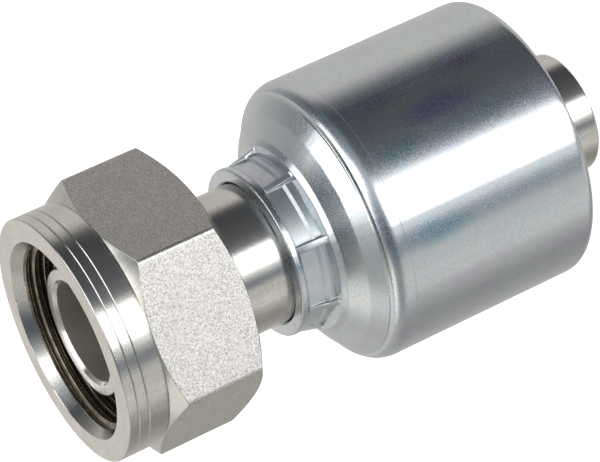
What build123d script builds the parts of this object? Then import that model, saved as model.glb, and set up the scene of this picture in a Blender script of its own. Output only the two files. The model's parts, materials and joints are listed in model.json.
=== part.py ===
from build123d import *
import os
from math import cos, degrees, radians, sqrt, tan

# Hose end fitting with a swivel nut. It stands on its hose-tail end: the origin is the centre of that
# end face, and +Z runs along the axis to the mouth of the nut. All sizes are in millimetres.

# Lengths along the axis, from the hose-tail end up
tail_reach = 12.0
shell_length = 55.9
neck_show = 12.3
nut_length = 26.9

# Stem
bore_d = 19.0
bore_chamfer = 0.6
neck_d = 26.92
head_clearance = 1.0
head_length = 6.5
nose_depth = 3.63
nose_wall = 2.58
nose_round = 0.35
cone_half_angle = 12.0
cone_length = 9.0
shoulder_angle = 45.0

# Ring groove in the cone, and the ring
ring_section = 2.4
ring_depth = 3.9
groove_wall = 1.35
groove_side_gap = 0.35

# Hose tail: a plain lead, then saw-tooth barbs that slope towards the tip
tail_wall = 2.02
tail_round = 0.6
lead_in = 5.6
barb_count = 5
barb_pitch = 6.5
barb_height = 1.4
barb_back = 0.7

# Swivel nut
hex_across_flats = 46.0
hex_chamfer_angle = 30.0
collar_length = 8.0
collar_over_flats = 0.1
collar_edge = 0.3
collar_groove_pitch = 2.0
collar_groove_count = 2
collar_groove_width = 0.2
collar_groove_depth = 0.15
thread_d = 36.0
thread_pitch = 2.0
thread_length = 13.0
counterbore_step = 0.78
counterbore_depth = 1.97
counterbore_land = 0.65
relief_depth = 0.3
rear_land = 4.0
rear_chamfer = 0.5
swivel_clearance = 0.4
seat_gap = 0.25

# Crimp shell, outside
shell_d = 54.26
shell_rear_round = 2.0
front_ring_width = 1.45
front_ring_wall = 2.78
front_ring_round = 0.45
front_ring_groove = 0.35
front_ring_groove_depth = 0.9
stake_length = 5.5
shoulder_slope = 63.0
shoulder_round = 5.5
foot_round = 1.0
shoulder_line_at = 3.1
shoulder_line_width = 0.35
shoulder_line_depth = 0.5

# Jaw marks round the staked collar, with a fin between each pair
jaw_count = 8
jaw_turn = 5.1
fin_width = 1.2
fin_rise = 0.7
jaw_depth = 0.5
jaw_step_at = 3.1
jaw_step_length = 0.8
jaw_step_rise = 0.65

# Crimp shell, inside
stake_wall = 2.8
stake_inset = 0.4
stem_gap = 0.15
shell_wall = 5.8
end_wall = 8.1
tooth_count = 5
tooth_pitch = 7.0
tooth_height = 1.4
tooth_crest = 1.8
tooth_flank = 1.0
mouth_chamfer = 1.2

# Heights of the main faces
shell_rear = tail_reach
shell_front = shell_rear + shell_length
nut_rear = shell_front + neck_show
nut_front = nut_rear + nut_length
nose_tip = nut_front - nose_depth

# Radii that two pieces share
bore_r = bore_d / 2
neck_r = neck_d / 2
thread_depth = 0.5413 * thread_pitch
thread_minor_r = thread_d / 2 - thread_depth
head_r = thread_minor_r - head_clearance
tail_r = bore_r + tail_wall
groove_floor_r = bore_r + groove_wall
nut_bore_r = neck_r + swivel_clearance
stake_r = bore_r + stake_wall
shell_bore_r = neck_r + stem_gap
shell_r = shell_d / 2
pocket_r = shell_r - shell_wall

# Heights that two pieces share
seat_height = nut_rear + rear_land
ring_height = nose_tip - ring_depth
stake_top = shell_front - front_ring_width - front_ring_groove - stake_inset
foot_height = shell_front - front_ring_width - front_ring_groove - stake_length
stake_bottom = foot_height + stake_inset
pocket_end = foot_height - end_wall


def turned(*corners):
    """A body of revolution about +Z. A corner is (radius, height) or (radius, height, rounding)."""
    points = [(corner[0], 0, corner[1]) for corner in corners]
    roundings = [corner[2] if len(corner) > 2 else 0 for corner in corners]
    outline = FilletPolyline(*points, radius=roundings, close=True)
    return revolve(make_face(outline.edges()), Axis.Z)


def v_groove(radius, height, width, depth):
    """A ring-shaped cutter for a V groove of this width and depth at this radius."""
    out = radius + depth
    return turned((radius - depth, height), (out, height - width), (out, height + width))


def barbs():
    """Corners of the barbs, from the lead up: a long ramp to a crest, then a short steep back."""
    corners = [(tail_r, shell_rear + lead_in)]
    for i in range(barb_count):
        top = shell_rear + lead_in + (i + 1) * barb_pitch
        corners.append((tail_r + barb_height, top - barb_back))
        corners.append((tail_r, top))
    return corners


def stem():
    """Nose with its cone and ring groove, head, neck, staking groove, barbed hose tail and bore."""
    nose_r = bore_r + nose_wall
    spread = tan(radians(cone_half_angle))
    cone_foot = nose_tip - cone_length
    half_groove = ring_section / 2 + groove_side_gap
    groove_top = ring_height + half_groove
    groove_bottom = ring_height - half_groove
    cone_r = nose_r + cone_length * spread
    back_rise = tan(radians(90 - shoulder_angle))
    neck_top = seat_height - swivel_clearance * back_rise + seat_gap
    head_bottom = neck_top + (head_r - neck_r) * back_rise
    head_top = head_bottom + head_length
    return turned(
        (bore_r, 0),
        (tail_r, 0, tail_round),
        *barbs(),
        (tail_r, pocket_end),
        (neck_r, pocket_end + neck_r - tail_r),
        (neck_r, stake_bottom),
        (stake_r, stake_bottom),
        (stake_r, stake_top),
        (neck_r, stake_top),
        (neck_r, neck_top),
        (head_r, head_bottom),
        (head_r, head_top, nose_round),
        (cone_r, head_top),
        (cone_r, cone_foot),
        (nose_r + (nose_tip - groove_bottom) * spread, groove_bottom),
        (groove_floor_r, groove_bottom),
        (groove_floor_r, groove_top),
        (nose_r + (nose_tip - groove_top) * spread, groove_top),
        (nose_r, nose_tip, nose_round),
        (bore_r + bore_chamfer, nose_tip),
        (bore_r, nose_tip - bore_chamfer),
    )


def o_ring():
    """The rubber ring, resting on the floor of its groove."""
    ring = Torus(groove_floor_r + ring_section / 2, ring_section / 2)
    return Pos(0, 0, ring_height) * ring


def nut_outside():
    """Hexagon with a chamfer on both ends, and the turned collar in front of it."""
    flat_r = hex_across_flats / 2
    corner_r = flat_r / cos(radians(30))
    collar_r = flat_r + collar_over_flats
    chamfer = tan(radians(hex_chamfer_angle))
    collar_rear = nut_front - collar_length
    hexagon = extrude(RegularPolygon(flat_r, 6, major_radius=False), collar_rear - nut_rear)
    over = corner_r + collar_edge
    envelope = turned(
        (0, nut_rear),
        (flat_r, nut_rear),
        (over, nut_rear + (over - flat_r) * chamfer),
        (over, collar_rear - (over - collar_r) * chamfer),
        (collar_r, collar_rear),
        (0, collar_rear),
    )
    collar = turned(
        (0, collar_rear),
        (collar_r, collar_rear),
        (collar_r, nut_front, collar_edge),
        (0, nut_front),
    )
    body = (Pos(0, 0, nut_rear) * hexagon & envelope) + collar
    for i in range(collar_groove_count):
        height = nut_front - (i + 1) * collar_groove_pitch
        body -= v_groove(collar_r, height, collar_groove_width, collar_groove_depth)
    return body


def nut_inside():
    """Everything that is cut out of the nut, from the rear bore to the counterbore."""
    counterbore_r = thread_d / 2 + counterbore_step
    chamfer_r = counterbore_r - counterbore_land
    relief_r = thread_d / 2 + relief_depth
    floor = nut_front - counterbore_depth
    thread_top = floor - (chamfer_r - thread_minor_r)
    thread_bottom = thread_top - thread_length
    back_rise = tan(radians(90 - shoulder_angle))
    return turned(
        (0, nut_rear),
        (nut_bore_r + rear_chamfer, nut_rear),
        (nut_bore_r, nut_rear + rear_chamfer),
        (nut_bore_r, seat_height),
        (relief_r, seat_height + (relief_r - nut_bore_r) * back_rise),
        (relief_r, thread_bottom - (relief_r - thread_minor_r)),
        (thread_minor_r, thread_bottom),
        (thread_minor_r, thread_top),
        (chamfer_r, floor),
        (counterbore_r, floor),
        (counterbore_r, nut_front),
        (0, nut_front),
    )


def swivel_nut():
    """The nut that turns on the stem."""
    return nut_outside() - nut_inside()


def fin(ring_r, fin_r, collar_top):
    """One ridge that the metal rose into between two crimping jaws; it runs out into the shoulder."""
    root_r = ring_r - jaw_depth - fin_width
    section = make_face(
        Polyline(
            (root_r, 0, collar_top),
            (ring_r, 0, collar_top),
            (fin_r, 0, foot_height),
            (fin_r, 0, foot_height - fin_width),
            (root_r, 0, foot_height - fin_width),
            close=True,
        ).edges()
    )
    fin_angle = degrees(fin_width / ring_r)
    return Rot(0, 0, jaw_turn - fin_angle / 2) * revolve(section, Axis.Z, revolution_arc=fin_angle)


def shell_outside():
    """Front ring, collar with its jaw marks, domed shoulder with a fine line, and cylinder."""
    ring_r = neck_r + front_ring_wall
    ring_rear = shell_front - front_ring_width
    collar_top = ring_rear - front_ring_groove
    groove_r = ring_r - front_ring_groove_depth
    first_r = ring_r - jaw_depth
    second_r = first_r + jaw_step_rise
    step_top = collar_top - jaw_step_at
    step_bottom = step_top - jaw_step_length
    shoulder_end = foot_height - (shell_r - second_r) / tan(radians(shoulder_slope))
    body = turned(
        (0, shell_rear),
        (shell_r, shell_rear, shell_rear_round),
        (shell_r, shoulder_end, shoulder_round),
        (second_r, foot_height, foot_round),
        (second_r, step_bottom),
        (first_r, step_top),
        (first_r, collar_top),
        (groove_r, collar_top),
        (groove_r, ring_rear),
        (ring_r, ring_rear, front_ring_round),
        (ring_r, shell_front, front_ring_round),
        (0, shell_front),
    )
    ridge = fin(ring_r, second_r + fin_rise, collar_top)
    for i in range(jaw_count):
        body += Rot(0, 0, i * 360 / jaw_count) * ridge
    round_end = shoulder_end - shoulder_round * tan(radians(shoulder_slope / 2))
    line_drop = shoulder_round - sqrt(shoulder_round**2 - shoulder_line_at**2)
    line_height = round_end + shoulder_line_at
    return body - v_groove(shell_r - line_drop, line_height, shoulder_line_width, shoulder_line_depth)


def shell_inside():
    """The bore on the stem, with the land pressed into its groove, and the toothed hose pocket."""
    corners = [
        (0, shell_rear),
        (pocket_r + mouth_chamfer, shell_rear),
        (pocket_r, shell_rear + mouth_chamfer),
    ]
    for i in range(tooth_count):
        middle = pocket_end - (tooth_count - i - 0.5) * tooth_pitch
        half = tooth_crest / 2
        corners += [
            (pocket_r, middle - half - tooth_flank),
            (pocket_r - tooth_height, middle - half),
            (pocket_r - tooth_height, middle + half),
            (pocket_r, middle + half + tooth_flank),
        ]
    corners += [
        (pocket_r, pocket_end),
        (shell_bore_r, pocket_end),
        (shell_bore_r, stake_bottom),
        (stake_r, stake_bottom),
        (stake_r, stake_top),
        (shell_bore_r, stake_top),
        (shell_bore_r, shell_front),
        (0, shell_front),
    ]
    return turned(*corners)


def crimp_shell():
    """The shell that holds the hose on the stem."""
    return shell_outside() - shell_inside()


os.makedirs("parts", exist_ok=True)
for piece in (stem, o_ring, swivel_nut, crimp_shell):
    export_step(piece(), f"parts/{piece.__name__}.step")
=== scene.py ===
import json
from math import atan2, cos, degrees, exp, pi, radians, sin, sqrt, tan

import bmesh
import bpy
import numpy as np
from mathutils import Matrix, Vector


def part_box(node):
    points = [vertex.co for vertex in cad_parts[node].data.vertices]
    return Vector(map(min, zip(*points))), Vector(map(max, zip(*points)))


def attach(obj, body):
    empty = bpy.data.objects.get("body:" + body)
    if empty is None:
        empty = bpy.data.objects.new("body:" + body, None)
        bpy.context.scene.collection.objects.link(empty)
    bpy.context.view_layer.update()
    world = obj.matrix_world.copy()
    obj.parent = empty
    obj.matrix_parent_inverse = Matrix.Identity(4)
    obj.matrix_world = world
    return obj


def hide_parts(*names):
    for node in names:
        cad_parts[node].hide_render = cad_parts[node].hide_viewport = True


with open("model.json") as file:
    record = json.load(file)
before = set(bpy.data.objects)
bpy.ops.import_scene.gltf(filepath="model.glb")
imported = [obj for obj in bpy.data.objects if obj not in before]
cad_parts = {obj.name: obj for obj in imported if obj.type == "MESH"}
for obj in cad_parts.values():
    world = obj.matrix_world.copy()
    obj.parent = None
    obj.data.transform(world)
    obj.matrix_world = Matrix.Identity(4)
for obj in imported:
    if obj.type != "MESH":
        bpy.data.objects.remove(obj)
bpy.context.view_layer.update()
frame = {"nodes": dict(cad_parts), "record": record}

# Hose end fitting with a swivel nut, standing on its hose-tail end. Shapes are worked out in
# millimetres about the +Z axis, and turned into metres when a mesh is made.
MM = 0.001


def height_span(node):
    """Lowest and highest point of a node, in millimetres."""
    low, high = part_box(node)
    return low.z / MM, high.z / MM


def widest(node):
    """Largest radius of a node, in millimetres, along Y, where every piece here is round."""
    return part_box(node)[1].y / MM


mounts = {mount["name"]: mount for mount in frame["record"]["mounts"]}

# Stem
tail_end, nose_tip = height_span("stem")
bore_r = mounts["bore"]["dims"]["r_mm"]
tail_r = mounts["hose_tail"]["dims"]["r_mm"]
neck_r = 13.46
head_r = widest("stem")
nose_r = 12.08
stake_r = 12.3
bore_chamfer = 0.6
nose_round = 0.35
tail_round = 0.6
cone_length = 9.0
cone_spread = tan(radians(12.0))
head_bottom, head_top = 86.5, 93.0
groove_floor_r = 10.85
groove_half = 1.55
ring_height = sum(height_span("o_ring")) / 2
lead_in = 5.6
barb_count, barb_pitch, barb_height, barb_back = 5, 6.5, 1.4, 0.7

# Swivel nut
nut_rear, nut_front = height_span("swivel_nut")
flat_r = 23.0
hex_corner_round = 0.9
hex_chamfer = tan(radians(30.0))
collar_r = 23.1
collar_rear = nut_front - 8.0
collar_edge = 0.3
collar_lines = (2.0, 4.0)
collar_line_half, collar_line_depth = 0.17, 0.16
fine_edge = 0.03
hex_edge = 0.15
mouth_edge = 0.08
undercut_r = 22.86
undercut_top, undercut_land = 0.42, 0.3
thread_r = 18.0
thread_pitch = 2.0
thread_minor_r = thread_r - 0.5413 * thread_pitch
thread_length = 11.8
mouth_r = 18.78
mouth_slope = tan(radians(30.0))
relief_r = 18.3
nut_bore_r = 13.86
nut_bore_chamfer = 0.5
nut_rear_land = 0.3
seat_height = nut_rear + 4.0

# Crimp shell
shell_rear, shell_front = height_span("crimp_shell")
shell_r = mounts["crimp_body"]["dims"]["r_mm"]
shell_rear_round = 2.0
ring_r = 16.24
ring_rear = shell_front - 1.45
ring_round = 0.45
ring_bore_chamfer = 0.35
collar_top = ring_rear - 0.35
ring_groove_r = ring_r - 0.75
jaw_front_r, jaw_rear_r = 15.6, 16.0
jaw_step_top, jaw_step_bottom = collar_top - 3.05, collar_top - 3.65
jaw_flatness = 0.5
jaw_step_round, jaw_wall_round = 0.15, 0.35
jaw_end = collar_top - 5.05
jaw_wall_r, jaw_wall_foot = 17.85, jaw_end - 0.35
shelf_r, shelf_foot = 18.7, jaw_end - 1.25
slope_r, slope_foot = 22.3, jaw_end - 3.5
dome_front_r, dome_front = 25.0, jaw_end - 5.7
dome_line, dome_line_foot = jaw_end - 6.05, jaw_end - 6.25
shelf_round, slope_round, dome_front_round = 0.8, 3.0, 0.12
shoulder_round = 4.6
shoulder_end = nut_front - 55.5
fin_count, fin_turn = 8, radians(5.1)
fin_half_width, fin_edge, fin_rear_r = 0.66, 0.13, 17.5
tool_line_height, tool_line_step = nut_front - 56.2, 0.03
tool_line_half, tool_line_edge = 0.08, 0.05
shell_bore_r = 13.61
stake_bottom, stake_top = 61.0, 65.7
pocket_r, pocket_end = 21.33, 52.5
pocket_chamfer = 1.2
tooth_count, tooth_pitch, tooth_height, tooth_crest, tooth_flank = 5, 7.0, 1.4, 1.8, 1.0

# Fineness of the meshes
EDGE = 0.1
EDGE_STEPS = 3
COLUMNS = 192


def rounded(corners, steps=EDGE_STEPS, edge=EDGE):
    """A line through (radius, height) corners, each rounded by its third number or by edge."""
    points = [Vector(corners[0][:2])]
    for before, corner, after in zip(corners, corners[1:], corners[2:]):
        here = Vector(corner[:2])
        back, on = Vector(before[:2]) - here, Vector(after[:2]) - here
        radius = corner[2] if len(corner) > 2 else edge
        count = steps * 3 if radius > 0.5 else steps
        if min(back.length, on.length) < 1e-6 or radius == 0:
            points += [here] * (count + 1)
            continue
        half = back.angle(on) / 2
        reach = min(radius / tan(half), 0.45 * back.length, 0.45 * on.length)
        radius = reach * tan(half)
        back.normalize()
        on.normalize()
        centre = here + (back + on).normalized() * (radius / sin(half))
        start, end = here + back * reach - centre, here + on * reach - centre
        turn = start.angle_signed(end)
        for i in range(count + 1):
            angle = turn * i / count
            spun = Vector((
                start.x * cos(angle) + start.y * sin(angle),
                start.y * cos(angle) - start.x * sin(angle),
            ))
            points.append(centre + spun)
    points.append(Vector(corners[-1][:2]))
    return [tuple(point) for point in points]


def soften(mesh):
    """Smooth shading: large faces keep their own direction, and small edges turn the light."""
    count = len(mesh.polygons)
    normals, areas = np.zeros(count * 3), np.zeros(count)
    mesh.polygons.foreach_get("normal", normals)
    mesh.polygons.foreach_get("area", areas)
    sizes = np.zeros(count, int)
    mesh.polygons.foreach_get("loop_total", sizes)
    corners = np.zeros(len(mesh.loops), int)
    mesh.loops.foreach_get("vertex_index", corners)
    weighted = np.repeat(normals.reshape(-1, 3) * areas[:, None], sizes, axis=0)
    total = np.zeros((len(mesh.vertices), 3))
    np.add.at(total, corners, weighted)
    total /= np.maximum(np.linalg.norm(total, axis=1), 1e-20)[:, None]
    mesh.shade_smooth()
    mesh.normals_split_custom_set_from_vertices(total.tolist())


def wrap(name, turns, sections, finish_of):
    """A closed skin from one closed (radius, height) section at each angle round the axis."""
    rows, columns = len(sections[0]), len(turns)
    points = [
        (radius * cos(turn) * MM, radius * sin(turn) * MM, height * MM)
        for turn, section in zip(turns, sections)
        for radius, height in section
    ]
    faces = []
    for i in range(columns):
        here, there = i * rows, (i + 1) % columns * rows
        for j in range(rows):
            on = (j + 1) % rows
            faces.append((here + j, there + j, there + on, here + on))
    mesh = bpy.data.meshes.new(name)
    mesh.from_pydata(points, [], faces)
    work = bmesh.new()
    work.from_mesh(mesh)
    bmesh.ops.remove_doubles(work, verts=work.verts, dist=1e-7)
    bmesh.ops.recalc_face_normals(work, faces=work.faces)
    work.to_mesh(mesh)
    work.free()
    for face in mesh.polygons:
        centre = face.center
        face.material_index = finish_of(
            sqrt(centre.x**2 + centre.y**2) / MM, centre.z / MM, face.normal
        )
    soften(mesh)
    piece = bpy.data.objects.new(name, mesh)
    bpy.context.scene.collection.objects.link(piece)
    return piece


def even_turns(count=COLUMNS):
    """Angles at even steps round the axis."""
    return [2 * pi * i / count for i in range(count)]


def finer_turns(places, offsets, clear):
    """Even angles, with fine offsets in place of those nearer than clear to each place."""
    turns = []
    for turn in even_turns():
        gap = min(abs((turn - place + pi) % (2 * pi) - pi) for place in places)
        if gap > clear:
            turns.append(turn)
    turns += [(place + offset) % (2 * pi) for place in places for offset in offsets]
    return sorted(turns)


def barb_corners():
    """Corners of the hose barbs, from the lead up."""
    corners = [(tail_r, shell_rear + lead_in)]
    for i in range(barb_count):
        top = shell_rear + lead_in + (i + 1) * barb_pitch
        corners += [(tail_r + barb_height, top - barb_back), (tail_r, top)]
    return corners


def stem_section():
    """The stem's closed section, from the bore at the tail round to the bore at the nose."""
    cone_r = nose_r + cone_length * cone_spread
    cone_foot = nose_tip - cone_length

    def on_cone(height):
        return (nose_r + (nose_tip - height) * cone_spread, height)

    return rounded([
        (bore_r, (tail_end + nose_tip) / 2),
        (bore_r, tail_end, 0.25),
        (tail_r, tail_end, tail_round),
        *barb_corners(),
        (tail_r, pocket_end),
        (neck_r, pocket_end + neck_r - tail_r),
        (neck_r, stake_bottom),
        (stake_r, stake_bottom),
        (stake_r, stake_top),
        (neck_r, stake_top),
        (neck_r, head_bottom - (head_r - neck_r), 0.3),
        (head_r, head_bottom),
        (head_r, head_top, nose_round),
        (cone_r, head_top),
        (cone_r, cone_foot),
        on_cone(ring_height - groove_half),
        (groove_floor_r, ring_height - groove_half),
        (groove_floor_r, ring_height + groove_half),
        on_cone(ring_height + groove_half),
        (nose_r, nose_tip, nose_round),
        (bore_r + bore_chamfer, nose_tip, 0.06),
        (bore_r, nose_tip - bore_chamfer, 0.06),
        (bore_r, (tail_end + nose_tip) / 2),
    ])


def hexagon_reach(turn):
    """Distance from the axis to the hexagon's side at this angle, with its rounded corners."""
    corner = radians(30)
    off = abs((turn + corner) % (2 * corner) - corner)
    centre = (flat_r - hex_corner_round) / cos(corner)
    touch = atan2(
        hex_corner_round * sin(corner), centre + hex_corner_round * cos(corner)
    )
    if off > touch:
        return flat_r / cos(corner - off)
    return centre * cos(off) + sqrt(hex_corner_round**2 - (centre * sin(off)) ** 2)


def thread_form():
    """One pitch of the inside thread, crest to crest: (height above the first crest, radius)."""
    crest, root = thread_pitch / 8, thread_pitch * 7 / 16
    slope = (thread_r - thread_minor_r) / (root - crest)
    blunt = 0.05
    half = [
        (0, thread_minor_r),
        (crest - 2 * blunt, thread_minor_r),
        (crest - blunt / 2, thread_minor_r + 0.008),
        (crest + blunt, thread_minor_r + blunt * slope),
    ]
    half += [
        (crest + share * (root - crest), thread_minor_r + share * (thread_r - thread_minor_r))
        for share in (0.35, 0.65, 0.93)
    ]
    half += [(root + blunt, thread_r)]
    back = [(thread_pitch - height, radius) for height, radius in reversed(half[1:])]
    return half + [(thread_pitch / 2, thread_r)] + back


def thread_line(turn, form):
    """The thread's section at one angle, from its runout up to its mouth."""
    top = nut_front
    low = top - (mouth_r - thread_minor_r) / mouth_slope - thread_length
    bottom = low - (relief_r - thread_minor_r)
    lift = thread_pitch * turn / (2 * pi)
    line = []
    for k in range(-1, int((top - bottom) / thread_pitch) + 2):
        for height, radius in form:
            height = min(max(bottom + k * thread_pitch + height + lift, bottom), top)
            runout = relief_r - (height - bottom)
            mouth = mouth_r - (top - height) * mouth_slope
            line.append((max(radius, runout, mouth), height))
    return line


def nut_section(turn, form):
    """The nut's closed section at one angle, from the thread's mouth round to its runout."""
    reach = hexagon_reach(turn)
    thread = thread_line(turn, form)
    corners = [
        thread[-1],
        (mouth_r + mouth_edge / 4, nut_front - mouth_edge / 4, 0),
        (mouth_r + mouth_edge, nut_front, 0),
        (collar_r, nut_front, collar_edge),
    ]
    for line in collar_lines:
        height = nut_front - line
        corners += [
            (collar_r, height + collar_line_half, fine_edge),
            (collar_r - collar_line_depth, height, 0.02),
            (collar_r, height - collar_line_half, fine_edge),
        ]
    corners += [
        (collar_r, collar_rear + undercut_top, 0.08),
        (undercut_r, collar_rear + undercut_land, fine_edge),
        (undercut_r, collar_rear + (collar_r - undercut_r) * hex_chamfer, fine_edge),
        (reach, collar_rear - (reach - collar_r) * hex_chamfer, hex_edge),
        (reach, nut_rear + (reach - flat_r + nut_rear_land) * hex_chamfer, hex_edge),
        (flat_r - nut_rear_land, nut_rear, hex_edge),
        (nut_bore_r + nut_bore_chamfer, nut_rear),
        (nut_bore_r, nut_rear + nut_bore_chamfer),
        (nut_bore_r, seat_height),
        (relief_r, seat_height + relief_r - nut_bore_r),
        thread[0],
    ]
    return rounded(corners)[:-1] + thread[:-1]


def dome_r(height):
    """Radius of the domed shoulder at this height."""
    drop = shoulder_round - sqrt(shoulder_round**2 - (height - shoulder_end) ** 2)
    return shell_r - drop


def land_line():
    """The pressed lands between the fins, from the front groove down to the line on the dome."""
    return rounded([
        (jaw_front_r, collar_top),
        (jaw_front_r, jaw_step_top, jaw_step_round),
        (jaw_rear_r, jaw_step_bottom, jaw_step_round),
        (jaw_rear_r, jaw_end, jaw_step_round),
        (jaw_wall_r, jaw_wall_foot, jaw_wall_round),
        (shelf_r, shelf_foot, shelf_round),
        (slope_r, slope_foot, slope_round),
        (dome_front_r, dome_front, dome_front_round),
        (dome_front_r, dome_line),
    ], steps=5)


def shell_tail():
    """The shell's section below the line on the dome, then its inside, up to the front ring."""
    dome = [
        (dome_r(height), height, 0)
        for height in np.linspace(dome_line_foot, shoulder_end, 14)
    ]
    corners = [
        (dome_front_r, dome_line, 0.06),
        (*dome[0][:2], 0.1),
        *dome[1:],
        (shell_r, tool_line_height + tool_line_half, tool_line_edge),
        (shell_r - tool_line_step, tool_line_height, tool_line_edge),
        (shell_r, tool_line_height - tool_line_half, tool_line_edge),
        (shell_r, shell_rear, shell_rear_round),
        (pocket_r + pocket_chamfer, shell_rear, 0.2),
        (pocket_r, shell_rear + pocket_chamfer, 0.2),
    ]
    for i in range(tooth_count):
        middle = pocket_end - (tooth_count - i - 0.5) * tooth_pitch
        half = tooth_crest / 2
        corners += [
            (pocket_r, middle - half - tooth_flank),
            (pocket_r - tooth_height, middle - half),
            (pocket_r - tooth_height, middle + half),
            (pocket_r, middle + half + tooth_flank),
        ]
    corners += [
        (pocket_r, pocket_end),
        (shell_bore_r, pocket_end),
        (shell_bore_r, stake_bottom),
        (stake_r, stake_bottom),
        (stake_r, stake_top),
        (shell_bore_r, stake_top),
        (shell_bore_r, shell_front - ring_bore_chamfer),
        (shell_bore_r + ring_bore_chamfer, shell_front),
        (ring_r, shell_front, ring_round),
        (ring_r, ring_rear, ring_round),
        (ring_groove_r, ring_rear - 0.2, 0.08),
        (jaw_front_r, collar_top),
    ]
    return rounded(corners)


def from_fin(turn):
    """Angle from the middle of the nearest fin."""
    step = 2 * pi / fin_count
    return abs((turn - fin_turn + step / 2) % step - step / 2)


def fin_share(turn):
    """1 on top of a fin, 0 on the lands, and a quick smooth fall between them."""
    fall = (fin_half_width + fin_edge - from_fin(turn) * ring_r) / (2 * fin_edge)
    fall = min(max(fall, 0), 1)
    return fall * fall * (3 - 2 * fall)


def shell_section(turn, land, tail):
    """The shell's closed section at one angle. The jaws left each land a little flattened."""
    share = fin_share(turn)
    lift = exp(jaw_flatness * (pi / fin_count - from_fin(turn)) ** 2 / 2)
    slope = (fin_rear_r - ring_r) / (collar_top - jaw_wall_foot)
    line = []
    for radius, height in land:
        radius = radius * lift if height > jaw_end else max(radius, jaw_rear_r * lift)
        top = ring_r + (collar_top - height) * slope
        line.append((radius + share * max(0, top - radius), height))
    return line + tail[1:-1]


def add(tree, kind, inputs=(), **settings):
    """Adds a node. inputs gives each input's value, or the socket that feeds it."""
    made = tree.nodes.new("ShaderNode" + kind)
    for name, value in settings.items():
        setattr(made, name, value)
    for key, value in dict(inputs).items():
        if isinstance(value, bpy.types.NodeSocket):
            tree.links.new(value, made.inputs[key])
        else:
            made.inputs[key].default_value = value
    return made


def calc(tree, operation, *values):
    """The result of a Math node."""
    return add(tree, "Math", enumerate(values), operation=operation).outputs[0]


def distance(tree, first, second):
    """The length of two parts at right angles."""
    squares = calc(tree, "ADD", calc(tree, "POWER", first, 2.0), calc(tree, "POWER", second, 2.0))
    return calc(tree, "SQRT", squares)


def dot(tree, vector, axis):
    """How far a vector reaches along an axis."""
    inputs = {0: vector, 1: axis}
    return add(tree, "VectorMath", inputs, operation="DOT_PRODUCT").outputs["Value"]


def smooth(tree, value, low, high, start=0.0, end=1.0):
    """value mapped smoothly from low..high to start..end."""
    inputs = {"Value": value, 1: low, 2: high, 3: start, 4: end}
    return add(tree, "MapRange", inputs, interpolation_type="SMOOTHSTEP").outputs[0]


def blend_colour(tree, share, first, second):
    """A mix of two colours."""
    inputs = {0: share, 6: first, 7: second}
    return add(tree, "Mix", inputs, data_type="RGBA").outputs[2]


def ramp(tree, share, stops):
    """A colour ramp of (place, colour) stops."""
    made = add(tree, "ValToRGB", {0: share})
    elements = made.color_ramp.elements
    while len(elements) > 1:
        elements.remove(elements[0])
    for i, (place, colour) in enumerate(stops):
        element = elements[0] if i == 0 else elements.new(place)
        element.position = place
        element.color = (*colour, 1)
    return made.outputs[0]


def noise(tree, vector, scale, detail=2.0, roughness=0.5):
    """A noise value at this scale, in features to a millimetre."""
    inputs = {"Vector": vector, "Scale": scale, "Detail": detail, "Roughness": roughness}
    return add(tree, "TexNoise", inputs).outputs[0]


def panel_share(tree, round_degrees, height_degrees, place, height, width, tall, tilt, edge):
    """1 inside an oval panel, 0 outside it, with a soft edge."""
    across = calc(tree, "SUBTRACT", round_degrees, float(place))
    above = calc(tree, "SUBTRACT", height_degrees, float(height))
    c, s = cos(radians(tilt)), sin(radians(tilt))
    along = calc(tree, "MULTIPLY", above, s / width)
    along = calc(tree, "MULTIPLY_ADD", across, c / width, along)
    over = calc(tree, "MULTIPLY", above, c / tall)
    over = calc(tree, "MULTIPLY_ADD", across, -s / tall, over)
    return smooth(tree, distance(tree, along, over), 1 - edge, 1 + edge, 1.0, 0.0)


def softbox_share(tree, way, facing, aside):
    """1 inside a square soft light, 0 outside it, with a soft edge."""
    place, height = radians(softbox_place), radians(softbox_height)
    flat = facing * cos(place) + aside * sin(place)
    middle = flat * cos(height) + Vector((0, 0, sin(height)))
    wide = Vector((0, 0, 1)).cross(middle).normalized()
    tall = middle.cross(wide)
    ahead, along, over = (dot(tree, way, axis) for axis in (middle, wide, tall))
    inside = smooth(tree, ahead, 0.1, 0.2)
    for reach, half in ((along, softbox_half_width), (over, softbox_half_height)):
        reach = calc(tree, "ABSOLUTE", calc(tree, "DIVIDE", reach, ahead))
        edge = smooth(tree, reach, half - softbox_edge, half + softbox_edge, 1.0, 0.0)
        inside = calc(tree, "MULTIPLY", inside, edge)
    return inside


def surface_places(tree):
    """Places on the surface in millimetres: the point, and (radius, height, way round)."""
    point = add(tree, "TexCoord").outputs["Object"]
    place = add(tree, "VectorMath", {0: point, 1: (1 / MM,) * 3}, operation="MULTIPLY").outputs[0]
    parts = add(tree, "SeparateXYZ", {0: place})
    x, y, z = parts.outputs
    turn = calc(tree, "ARCTAN2", y, x)
    lathe = add(tree, "CombineXYZ", {0: distance(tree, x, y), 1: z, 2: turn}).outputs[0]
    return place, lathe


def metal(name, colour, places_finish, **sockets):
    """A metal whose roughness, colour and bump places_finish works out."""
    made = bpy.data.materials.new(name)
    made.use_nodes = True
    tree = made.node_tree
    shader = tree.nodes["Principled BSDF"]
    shader.inputs["Metallic"].default_value = 1.0
    for socket, value in sockets.items():
        shader.inputs[socket.replace("_", " ")].default_value = value
    base, rough, bump = places_finish(tree, colour)
    tree.links.new(base, shader.inputs["Base Color"])
    tree.links.new(rough, shader.inputs["Roughness"])
    tree.links.new(bump, shader.inputs["Normal"])
    return made


def bumped(tree, height, depth, strength=1.0, over=None):
    """A bump whose height of 1 is depth millimetres."""
    inputs = {"Height": height, "Distance": depth * MM, "Strength": strength}
    if over is not None:
        inputs["Normal"] = over
    return add(tree, "Bump", inputs).outputs[0]


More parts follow.
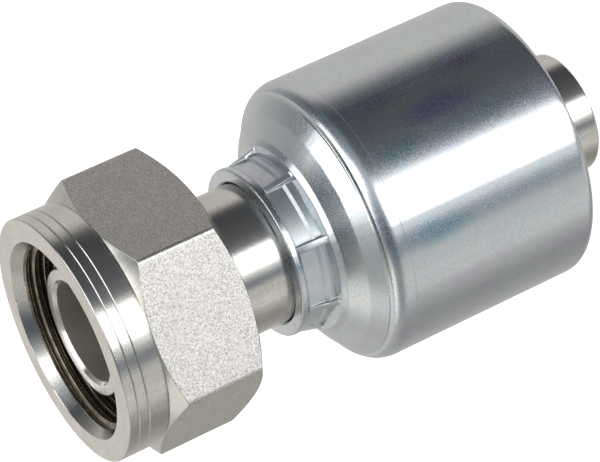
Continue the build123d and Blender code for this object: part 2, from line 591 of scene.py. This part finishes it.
def shade_of(colour, share):
    """A colour made darker or lighter, with its alpha."""
    return tuple(c * share for c in colour) + (1,)


def shaded(tree, share, colour, low, high):
    """A colour from low to high of its own brightness."""
    return blend_colour(tree, share, shade_of(colour, low), shade_of(colour, high))


def turned_finish(tree, colour):
    """Fine tool marks round the axis, with the sparkle and tarnish of a thin plating."""
    place, lathe = surface_places(tree)
    drawn = add(tree, "VectorMath", {0: lathe, 1: (1, 1, 0.5)}, operation="MULTIPLY").outputs[0]
    marks = noise(tree, drawn, 5.0, 3.0, 0.6)
    speckle = noise(tree, place, 5.0, 2.0, 0.6)
    cloud = noise(tree, place, 0.22, 3.0)
    base = shaded(tree, smooth(tree, cloud, 0.35, 0.7), colour, 0.92, 1)
    spots = smooth(tree, speckle, 0.56, 0.72)
    base = blend_colour(tree, spots, base, shade_of(colour, 0.62))
    rough = calc(tree, "MULTIPLY_ADD", speckle, 0.2, 0.04)
    bump = bumped(tree, marks, 0.005)
    return base, rough, bumped(tree, speckle, 0.014, over=bump)


def grain_finish(tree, colour):
    """The dull grain of a blank hexagon side."""
    place, lathe = surface_places(tree)
    grain = noise(tree, place, 6.5, 2.5, 0.75)
    cloud = noise(tree, place, 0.15, 2.0)
    base = shaded(tree, smooth(tree, grain, 0.4, 0.56), colour, 0.36, 1)
    clouded = smooth(tree, cloud, 0.3, 0.75, 0.0, 0.12)
    base = blend_colour(tree, clouded, base, shade_of(colour, 0.6))
    rough = calc(tree, "MULTIPLY_ADD", grain, 0.2, 0.3)
    return base, rough, bumped(tree, grain, 0.03)


# Faint films on the zinc: way round and height of the middle, half sizes, colour
films = [
    (-40, 46, 4, 6, (0.74, 0.6, 0.95)),
    (-38, 26, 4, 5, (0.76, 0.64, 0.95)),
    (-53, 34, 5, 7, (0.66, 0.56, 0.9)),
    (-62, 45, 4, 4, (0.46, 0.74, 0.8)),
    (-62, 28, 3.5, 8, (0.5, 0.76, 0.82)),
    (-96, 45, 4, 6, (0.46, 0.72, 0.78)),
]


def zinc_finish(tree, colour):
    """Satin zinc: blue specks that scatter light, and faint films of violet and teal."""
    place, lathe = surface_places(tree)
    specks = noise(tree, place, 6.5, 2.0, 0.6)
    drift = noise(tree, place, 0.12, 3.0, 0.6)
    base = ramp(tree, drift, [
        (0.36, (0.6, 0.585, 0.62)),
        (0.46, colour),
        (0.56, (0.6, 0.64, 0.62)),
        (0.64, (0.66, 0.65, 0.59)),
    ])
    parts = add(tree, "SeparateXYZ", {0: lathe})
    height = parts.outputs[1]
    round_degrees = calc(tree, "MULTIPLY", parts.outputs[2], degrees(1))
    for turn, middle, wide, tall, tint in films:
        inside = panel_share(tree, round_degrees, height, turn, middle, wide, tall, 0, 0.7)
        inside = calc(tree, "MULTIPLY", inside, smooth(tree, drift, 0.3, 0.6, 0.4, 1.0))
        patch_tone = tuple(c * t for c, t in zip(colour, tint)) + (1,)
        base = blend_colour(tree, inside, base, patch_tone)
    share = smooth(tree, specks, 0.47, 0.68)
    base = blend_colour(tree, share, base, (0.46, 0.6, 0.8, 1))
    rough = calc(tree, "MULTIPLY_ADD", share, 0.24, 0.18)
    return base, rough, bumped(tree, specks, 0.008)


def pressed_finish(tree, colour):
    """Zinc that the jaws pressed, a little duller than the rest."""
    base, rough, bump = zinc_finish(tree, colour)
    return base, calc(tree, "ADD", rough, 0.16), bump


def dark_brown_thread_finish(tree, colour):
    """A thread coloured dark brown, darker still in soft patches."""
    place, lathe = surface_places(tree)
    patch_tone = noise(tree, place, 0.5, 3.0)
    base = shaded(tree, smooth(tree, patch_tone, 0.35, 0.7), colour, 1, 0.5)
    rough = calc(tree, "MULTIPLY_ADD", patch_tone, 0.25, 0.15)
    return base, rough, bumped(tree, noise(tree, lathe, 4.0, 2.0), 0.004)


def bored_finish(tree, colour):
    """The dull, drilled wall of the bore."""
    place, lathe = surface_places(tree)
    marks = noise(tree, lathe, 3.0, 3.0, 0.6)
    grain = noise(tree, place, 4.0, 2.0)
    base = shaded(tree, smooth(tree, grain, 0.35, 0.65), colour, 0.8, 1)
    rough = calc(tree, "MULTIPLY_ADD", grain, 0.3, 0.4)
    return base, rough, bumped(tree, calc(tree, "ADD", marks, grain), 0.02)


def rubber():
    """Matte black rubber with a fine grain."""
    made = bpy.data.materials.new("black_rubber")
    made.use_nodes = True
    tree = made.node_tree
    shader = tree.nodes["Principled BSDF"]
    place, lathe = surface_places(tree)
    grain = noise(tree, place, 4.0, 3.0)
    base = blend_colour(tree, grain, (0.014, 0.014, 0.015, 1), (0.03, 0.03, 0.032, 1))
    tree.links.new(base, shader.inputs["Base Color"])
    tree.links.new(calc(tree, "MULTIPLY_ADD", grain, 0.2, 0.5), shader.inputs["Roughness"])
    tree.links.new(bumped(tree, grain, 0.01), shader.inputs["Normal"])
    return made


turned = {"Anisotropic": 0.5, "Anisotropic_Rotation": 0.25}
steel = metal("turned_steel", (0.64, 0.625, 0.595), turned_finish, **turned)
bored = metal("bored_steel", (0.6, 0.56, 0.5), bored_finish)
nut_steel = metal("nut_turned_steel", (0.63, 0.615, 0.58), turned_finish, **turned)
nut_flats = metal("nut_grained_steel", (0.83, 0.805, 0.775), grain_finish)
# The inside thread is coloured dark brown, much darker than the nut's outside.
nut_thread = metal("nut_thread_steel", (0.34, 0.29, 0.22), dark_brown_thread_finish)
zinc = metal("satin_zinc", (0.64, 0.63, 0.61), zinc_finish)
pressed = metal("pressed_zinc", (0.7, 0.69, 0.67), pressed_finish)


def stem_finish_of(radius, height, normal):
    """0 turned, 1 bored."""
    return 1 if radius < bore_r + 0.02 else 0


def build_stem():
    """The stem, turned in one piece."""
    section = stem_section()[:-1]
    turns = even_turns()
    piece = wrap("stem_turned", turns, [section] * len(turns), stem_finish_of)
    piece.data.materials.append(steel)
    piece.data.materials.append(bored)
    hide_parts("stem")
    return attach(piece, "hose_end")


def nut_finish_of(radius, height, normal):
    """0 turned, 1 grained side, 2 dark brown thread."""
    if height < collar_rear and abs(normal.z) < 0.3 and radius > flat_r - 0.5:
        return 1
    cone_r = mouth_r - (nut_front - height) * mouth_slope
    if nut_rear + 4 < height < nut_front - 0.05 and radius < relief_r + 0.1:
        off_cone = abs(radius - cone_r) > mouth_edge / 4
        return 2 if off_cone or height < nut_front - thread_pitch else 0
    return 0


def build_nut():
    """The swivel nut with its hexagon, lined collar and real thread."""
    corners = [radians(60) * i for i in range(6)]
    offsets = [radians(share * 1.3) for share in (-1, -0.75, -0.5, -0.25, 0, 0.25, 0.5, 0.75, 1)]
    turns = finer_turns(corners, offsets, radians(1.9))
    form = thread_form()
    sections = [nut_section(turn, form) for turn in turns]
    piece = wrap("nut_turned", turns, sections, nut_finish_of)
    for finish in (nut_steel, nut_flats, nut_thread):
        piece.data.materials.append(finish)
    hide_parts("swivel_nut")
    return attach(piece, "nut")


def shell_finish_of(radius, height, normal):
    """0 satin, 1 pressed by the jaws."""
    return 1 if radius > 15.0 and jaw_end < height < collar_top else 0


def build_shell():
    """The crimp shell with its jaw marks and fins."""
    fins = [fin_turn + 2 * pi * i / fin_count for i in range(fin_count)]
    edge = [fin_half_width + fin_edge * share for share in (-1, -0.6, -0.3, 0, 0.3, 0.6, 1)]
    offsets = [reach / ring_r for reach in edge]
    offsets = sorted([-offset for offset in offsets] + [0] + offsets)
    turns = finer_turns(fins, offsets, (fin_half_width + 2 * fin_edge) / ring_r)
    land, tail = land_line(), shell_tail()
    sections = [shell_section(turn, land, tail) for turn in turns]
    piece = wrap("shell_crimped", turns, sections, shell_finish_of)
    for finish in (zinc, pressed):
        piece.data.materials.append(finish)
    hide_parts("crimp_shell")
    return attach(piece, "hose_end")


# The camera's place and directions, at the photograph's viewing angle
camera_place = Vector((0.14132814, -0.52449339, 0.27347208))
camera_right = Vector((-0.31641154, -0.43200457, -0.84454472))
camera_up = Vector((0.91736622, 0.08730336, -0.38835209))
camera_back = Vector((0.24150147, -0.89763588, 0.36868260))
camera_lens = 195.04
floor_half = 3.0


def build_camera():
    """A long lens that looks down on the fitting, rolled as in the photograph."""
    lens = bpy.data.cameras.new("camera")
    lens.lens = camera_lens
    lens.sensor_fit = "HORIZONTAL"
    lens.sensor_width = 36.0
    lens.clip_start, lens.clip_end = 0.01, 50.0
    camera = bpy.data.objects.new("camera", lens)
    turned = Matrix((camera_right, camera_up, camera_back)).transposed().to_4x4()
    camera.matrix_world = Matrix.Translation(camera_place) @ turned
    bpy.context.scene.collection.objects.link(camera)
    bpy.context.scene.camera = camera


def build_floor():
    """A wide pale floor. The metal's gloss sees the studio cards in its place."""
    corners = [(floor_half * x, floor_half * y, 0) for x, y in ((-1, -1), (1, -1), (1, 1), (-1, 1))]
    mesh = bpy.data.meshes.new("floor")
    mesh.from_pydata(corners, [], [(0, 1, 2, 3)])
    floor = bpy.data.objects.new("floor", mesh)
    bpy.context.scene.collection.objects.link(floor)
    paint = bpy.data.materials.new("pale_floor")
    paint.use_nodes = True
    tree = paint.node_tree
    shader = tree.nodes["Principled BSDF"]
    place = add(tree, "TexCoord").outputs["Object"]
    mottle = noise(tree, place, 6.0, 2.0)
    shade = blend_colour(tree, mottle, (0.86, 0.86, 0.86, 1), (0.9, 0.9, 0.9, 1))
    tree.links.new(shade, shader.inputs["Base Color"])
    tree.links.new(shade, shader.inputs["Emission Color"])
    shader.inputs["Emission Strength"].default_value = 1.0
    shader.inputs["Roughness"].default_value = 0.9
    shader.inputs["Specular IOR Level"].default_value = 0.0
    mesh.materials.append(paint)
    floor.visible_glossy = False


# Studio cards, as (place round the object in degrees, colour). 0 is towards the camera, and the
# places rise clockwise as seen from above. A colour of 1 is studio_power.
studio_power = 4.0
low_cards = [
    (-180, (0.16, 0.155, 0.146)),
    (-140, (0.165, 0.16, 0.151)),
    (-102, (0.19, 0.186, 0.178)),
    (-93, (0.13, 0.127, 0.122)),
    (-86, (0.04, 0.04, 0.04)),
    (-76, (0.02, 0.021, 0.024)),
    (-60, (0.023, 0.024, 0.026)),
    (-38, (0.031, 0.032, 0.035)),
    (-24, (0.046, 0.048, 0.053)),
    (-12, (0.09, 0.094, 0.1)),
    (-1, (1.0, 1.0, 1.0)),
    (16, (1.0, 1.0, 1.0)),
    (24, (0.32, 0.32, 0.32)),
    (31, (0.19, 0.193, 0.196)),
    (38, (0.07, 0.078, 0.092)),
    (45, (0.075, 0.082, 0.092)),
    (51, (0.17, 0.17, 0.166)),
    (58, (0.22, 0.218, 0.21)),
    (61, (0.12, 0.12, 0.115)),
    (64.5, (0.26, 0.258, 0.25)),
    (68, (0.12, 0.12, 0.115)),
    (72, (0.3, 0.298, 0.29)),
    (76, (0.13, 0.13, 0.125)),
    (81, (0.27, 0.266, 0.257)),
    (86, (0.165, 0.162, 0.155)),
    (96, (0.14, 0.137, 0.13)),
    (108, (0.095, 0.093, 0.088)),
    (122, (0.1, 0.098, 0.093)),
    (142, (0.125, 0.122, 0.115)),
    (180, (0.16, 0.155, 0.146)),
]
high_cards = [
    (-180, (0.215, 0.208, 0.195)),
    (-165, (0.18, 0.176, 0.168)),
    (-140, (0.125, 0.123, 0.12)),
    (-112, (0.06, 0.06, 0.06)),
    (-92, (0.026, 0.028, 0.031)),
    (-74, (0.03, 0.034, 0.04)),
    (-55, (0.06, 0.07, 0.08)),
    (-30, (0.11, 0.12, 0.13)),
    (-8, (0.18, 0.19, 0.2)),
    (10, (0.1, 0.106, 0.115)),
    (26, (0.028, 0.034, 0.042)),
    (44, (0.035, 0.04, 0.048)),
    (65, (0.1, 0.1, 0.1)),
    (85, (0.085, 0.085, 0.085)),
    (105, (0.13, 0.128, 0.12)),
    (150, (0.16, 0.155, 0.147)),
    (180, (0.215, 0.208, 0.195)),
]
# A square soft light over the fitting: its middle in degrees, its half sizes and edge as tangents
softbox_place, softbox_height = -49.0, 64.0
softbox_half_width, softbox_half_height, softbox_edge = 0.55, 0.41, 0.05
softbox_colour = (0.62, 0.62, 0.62, 1)
# Heights in degrees between which one part of the room passes into the next
low_to_high, high_to_upper, upper_to_top = (-2.0, 16.0), (45.0, 62.0), (66.0, 84.0)
upper_colour, top_colour = (0.11, 0.116, 0.108, 1), (0.2, 0.2, 0.188, 1)
# Single panels: place round, height, half width, half height, tilt, edge softness, colour
panels = [
    (-24, 40, 13, 7, 0, 0.4, (0.62, 0.62, 0.62)),
    (-114, 71, 26, 8, 0, 0.4, (0.05, 0.06, 0.075)),
    (88, 37, 30, 6, -20, 0.45, (0.38, 0.38, 0.36)),
    (136, 47, 26, 12, 0, 0.5, (0.28, 0.275, 0.26)),
]


def card_ramp(tree, turn, cards):
    """A ramp round the object. Ramps hold places from 0 to 1."""
    return ramp(tree, turn, [(place / 360 + 0.5, colour) for place, colour in cards])


def build_studio():
    """Light from all round: soft cards and panels, with a plain pale backdrop for the camera."""
    world = bpy.data.worlds.new("studio")
    bpy.context.scene.world = world
    world.use_nodes = True
    tree = world.node_tree
    tree.nodes.clear()
    way = add(tree, "TexCoord").outputs["Generated"]
    facing = camera_back.copy()
    facing.z = 0
    facing.normalize()
    aside = facing.cross(Vector((0, 0, 1)))
    turn = calc(tree, "ARCTAN2", dot(tree, way, aside), dot(tree, way, facing))
    share = calc(tree, "MULTIPLY_ADD", turn, 1 / (2 * pi), 0.5)
    round_degrees = calc(tree, "MULTIPLY", turn, degrees(1))
    height = add(tree, "SeparateXYZ", {0: way}).outputs[2]
    height_degrees = calc(tree, "MULTIPLY", calc(tree, "ARCSINE", height), degrees(1))
    low = card_ramp(tree, share, low_cards)
    high = card_ramp(tree, share, high_cards)
    light = low
    for band, above in (
        (low_to_high, high),
        (high_to_upper, upper_colour),
        (upper_to_top, top_colour),
    ):
        light = blend_colour(tree, smooth(tree, height_degrees, *band), light, above)
    light = blend_colour(tree, softbox_share(tree, way, facing, aside), light, softbox_colour)
    for *shape, colour in panels:
        inside = panel_share(tree, round_degrees, height_degrees, *shape)
        light = blend_colour(tree, inside, light, colour + (1,))
    lit = add(tree, "Background", {"Color": light, "Strength": studio_power})
    plain = add(tree, "Background", {"Color": (1.0, 1.0, 1.0, 1), "Strength": 1.0})
    seen = add(tree, "LightPath").outputs["Is Camera Ray"]
    mixed = add(tree, "MixShader", {0: seen, 1: lit.outputs[0], 2: plain.outputs[0]})
    out = add(tree, "OutputWorld", {"Surface": mixed.outputs[0]})
    return out


build_camera()
build_floor()
build_studio()
build_stem()
build_nut()
build_shell()
ring = frame["nodes"]["o_ring"]
ring.data.materials.clear()
ring.data.materials.append(rubber())
bpy.context.scene.view_settings.view_transform = "Standard"
